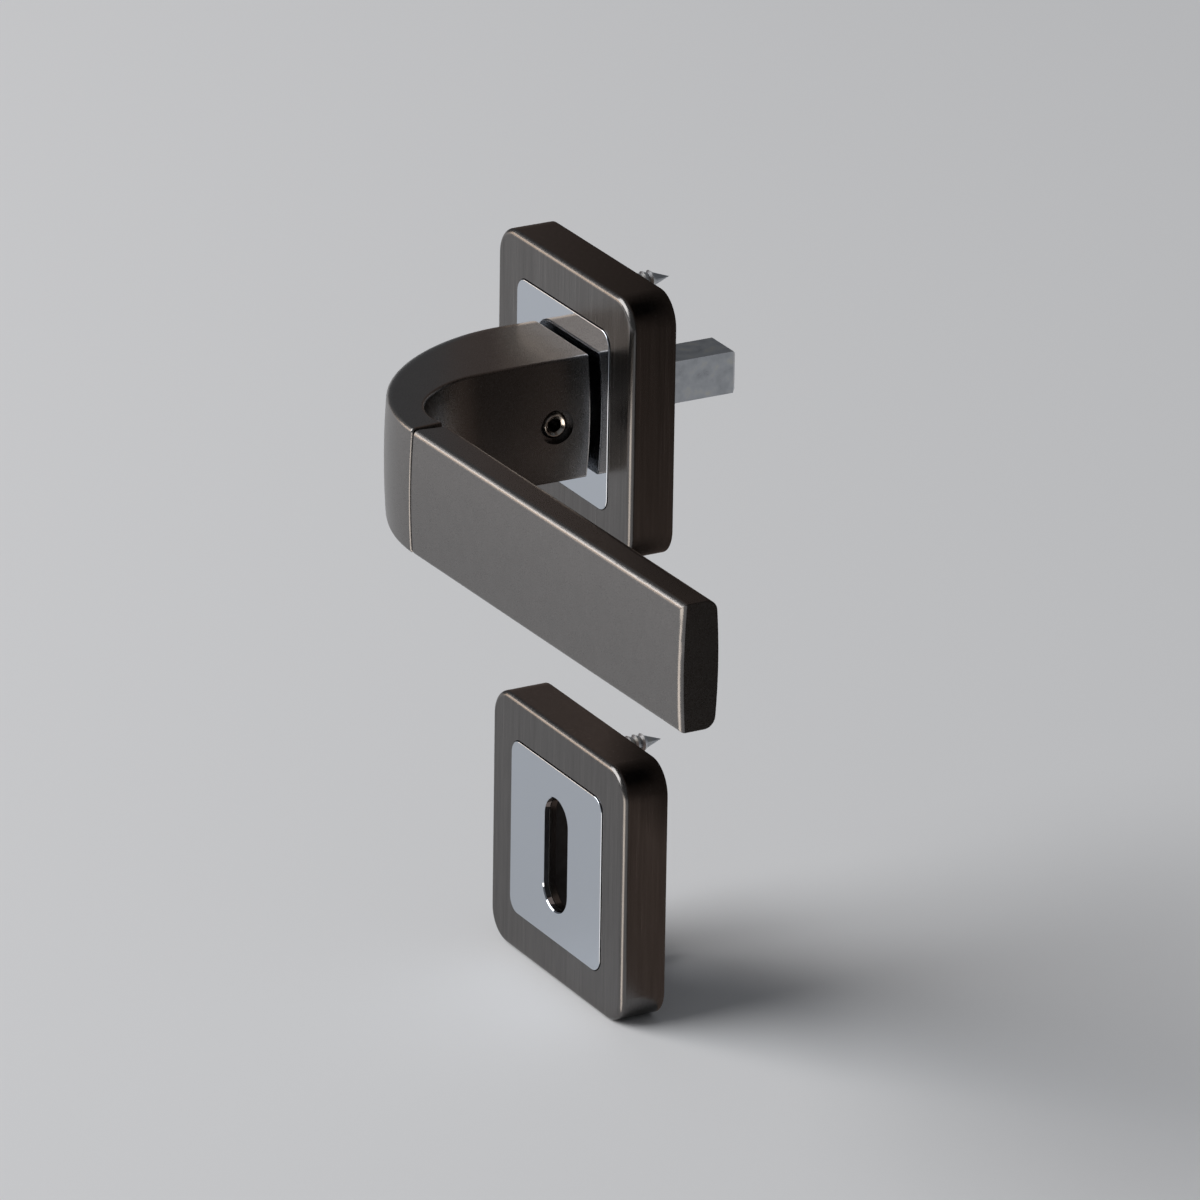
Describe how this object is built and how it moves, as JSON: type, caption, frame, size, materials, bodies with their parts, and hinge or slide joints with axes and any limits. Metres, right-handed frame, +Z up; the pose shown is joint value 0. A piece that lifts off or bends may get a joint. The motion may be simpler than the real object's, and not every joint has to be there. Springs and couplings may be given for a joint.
{
  "type": "door lever handle",
  "caption": "Square-rose door lever handle: flat bar grip on a bent neck with square spindle and sprung rose, and a matching square oval-key escutcheon below.",
  "frame": {"origin": "on the spindle axis, at the door face that the rose stands on", "axes": "+X along the grip, +Y into the door, +Z up; -Y points out to the user"},
  "size_m": [0.1491, 0.0807, 0.14],
  "materials": {
    "satin_black_nickel": "brushed, satin black-nickel plating",
    "polished_black_nickel": "mirror polished",
    "adhesive_pad": "acrylic foam pad",
    "moulded_base": "glass-filled nylon, as moulded",
    "bush_plastic": "acetal, as moulded",
    "zinc_steel": "bright zinc plated",
    "black_steel": "black oxide",
    "spring_steel": "drawn wire, oiled"
  },
  "bodies": {
    "rose": {"rose_cover": "satin_black_nickel", "rose_plate": "polished_black_nickel", "rose_bond": "adhesive_pad", "rose_base": "moulded_base", "rose_screws": "zinc_steel", "bearing_bush": "bush_plastic", "spring_cap": "zinc_steel", "cap_screws": "zinc_steel", "return_spring": "spring_steel", "key_cover": "satin_black_nickel", "key_plate": "polished_black_nickel", "key_bond": "adhesive_pad", "key_base": "moulded_base", "key_screws": "zinc_steel"},
    "lever": {"lever_neck": "satin_black_nickel", "lever_grip": "satin_black_nickel", "grip_screws": "black_steel", "grub_screw": "black_steel", "spindle": "zinc_steel", "spring_driver": "zinc_steel", "thrust_washer": "bush_plastic", "retaining_ring": "black_steel"}
  },
  "joints": [
    {"name": "lever_turn", "type": "hinge", "parent": "rose", "child": "lever", "pos_m": [0, 0, 0], "axis": [0, 1, 0], "range_deg": [0, 42], "stiffness_Nm_per_rad": 0.6, "springref_deg": -28.65, "deforming": ["return_spring"]}
  ]
}
